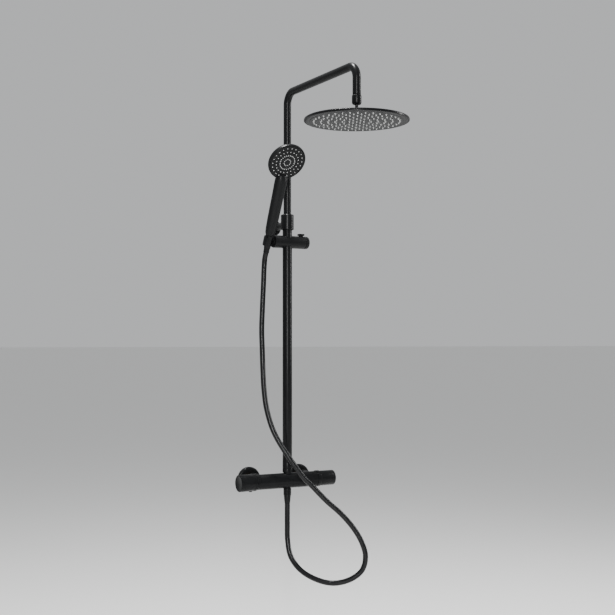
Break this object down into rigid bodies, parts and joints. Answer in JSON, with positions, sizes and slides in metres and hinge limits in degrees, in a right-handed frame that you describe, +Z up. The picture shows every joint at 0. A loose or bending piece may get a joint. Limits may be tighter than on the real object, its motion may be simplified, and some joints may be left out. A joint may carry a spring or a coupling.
{
  "type": "rainfall shower column",
  "caption": "Wall-mounted shower column with a thermostatic bar valve, telescoping riser, overhead rain head on a curved arm, and a hand shower on a hose in a sliding, tilting holder.",
  "frame": {"origin": "on the wall plane, midway between the two inlets, at the height of the valve's axis", "axes": "+Z up; +Y into the wall, so the column stands in -Y; +X to the right seen from the room"},
  "size_m": [0.2988, 0.5887, 1.2979],
  "materials": {
    "black_finish": "matte",
    "black_plastic": "satin",
    "hose_black": "satin",
    "brass": "machined",
    "steel": "bright",
    "seal_rubber": "matte",
    "white_plastic": "matte",
    "nozzle_silicone": "matte"
  },
  "bodies": {
    "root": {"valve_body": "black_finish", "wall_union_left": "brass", "wall_union_right": "brass", "escutcheon_left": "black_finish", "escutcheon_right": "black_finish", "union_nut_left": "black_finish", "union_nut_right": "black_finish", "inlet_filter_left": "seal_rubber", "inlet_filter_right": "seal_rubber", "check_valve_left": "white_plastic", "check_valve_right": "white_plastic", "thermostat_cartridge": "white_plastic", "thermostat_retaining_nut": "brass", "flow_cartridge": "white_plastic", "flow_retaining_nut": "brass", "riser_washer": "seal_rubber", "riser_nut": "black_finish", "riser_connector": "black_finish", "lower_riser": "black_finish", "riser_bracket": "black_finish", "collar_grub_screw": "steel", "wall_rosette": "black_finish", "bracket_plate": "steel", "wall_screw": "steel", "post_grub_screw": "steel", "hose_washer": "seal_rubber", "hose_nut": "black_finish", "hose_ferrule_bottom": "black_plastic"},
    "temperature_handle": {"temperature_handle": "black_finish", "temperature_spindle": "brass", "temperature_handle_screw": "steel", "temperature_handle_cap": "black_finish", "stop_button_spring": "steel"},
    "stop_button": {"stop_button": "black_plastic"},
    "flow_handle": {"flow_handle": "black_finish", "flow_spindle": "brass", "flow_handle_screw": "steel", "flow_handle_cap": "black_finish"},
    "telescope": {"guide_bush": "white_plastic"},
    "arm": {"upper_riser": "black_finish", "arm_end_fitting": "black_finish", "ball_nut": "black_finish"},
    "ball_seat": {"ball_seat": "white_plastic"},
    "rain_head": {"ball_stem": "black_finish", "head_shell": "black_finish", "head_face_plate": "black_finish", "head_nozzle_mat": "nozzle_silicone"},
    "hose": {"hose_tube": "hose_black"},
    "slider_bush": {"slider_bush": "white_plastic"},
    "slider": {"slider_body": "black_plastic", "slider_end_cap": "black_plastic", "holder_screw": "steel", "tab_spring": "steel"},
    "release_tab": {"release_tab": "black_plastic"},
    "holder": {"holder": "black_plastic"},
    "hand_shower": {"hand_shower_body": "black_plastic", "hand_shower_face": "black_plastic", "hand_shower_nozzle_mat": "nozzle_silicone", "hose_cone_nut": "black_plastic", "hose_ferrule_top": "black_plastic"}
  },
  "joints": [
    {"name": "temperature_turn", "type": "hinge", "parent": "root", "child": "temperature_handle", "pos_m": [-0.118, -0.082, 0], "axis": [-1, 0, 0], "range_deg": [-160, 60]},
    {"name": "stop_button_press", "type": "slide", "parent": "temperature_handle", "child": "stop_button", "axis": [0, 0, 1], "range_m": [0, 0.002], "stiffness_N_per_m": 600, "springref_m": -0.001, "deforming": ["stop_button_spring"]},
    {"name": "flow_turn", "type": "hinge", "parent": "root", "child": "flow_handle", "pos_m": [0.118, -0.082, 0], "axis": [1, 0, 0], "range_deg": [-90, 90]},
    {"name": "riser_telescope", "type": "slide", "parent": "root", "child": "telescope", "axis": [0, 0, 1], "range_m": [-0.12, 0.08]},
    {"name": "arm_swivel", "type": "hinge", "parent": "telescope", "child": "arm", "pos_m": [0, -0.082, 0.6955], "axis": [0, 0, 1], "range_deg": [-45, 45]},
    {"name": "head_tilt_front", "type": "hinge", "parent": "arm", "child": "ball_seat", "pos_m": [0, -0.432, 0.932], "axis": [1, 0, 0], "range_deg": [-12, 12]},
    {"name": "head_tilt_side", "type": "hinge", "parent": "ball_seat", "child": "rain_head", "pos_m": [0, -0.432, 0.932], "axis": [0, 1, 0], "range_deg": [-12, 12]},
    {"name": "hose_follow", "type": "slide", "parent": "root", "child": "hose", "axis": [0, 0, 1], "range_m": [-0.2, 0.006], "deforming": ["hose_tube"]},
    {"name": "slider_height", "type": "slide", "parent": "hose", "child": "slider_bush", "axis": [0, 0, 1], "range_m": [-0.2, 0.006]},
    {"name": "slider_turn", "type": "hinge", "parent": "slider_bush", "child": "slider", "pos_m": [0, -0.082, 0.629], "axis": [0, 0, 1], "range_deg": [-40, 40]},
    {"name": "release_tab_press", "type": "slide", "parent": "slider", "child": "release_tab", "axis": [0, 0, -1], "range_m": [0, 0.0015], "stiffness_N_per_m": 600, "springref_m": -0.002, "deforming": ["tab_spring"]},
    {"name": "holder_tilt", "type": "hinge", "parent": "slider", "child": "holder", "pos_m": [-0.056, -0.082, 0.629], "axis": [1, 0, 0], "range_deg": [-23, 30]},
    {"name": "hand_shower_lift", "type": "slide", "parent": "holder", "child": "hand_shower", "axis": [0, -0.4321, 0.9018], "range_m": [0, 0.08]}
  ],
  "couplings": [
    {"joint": "hose_follow", "follows": "slider_height", "ratio": 1}
  ]
}
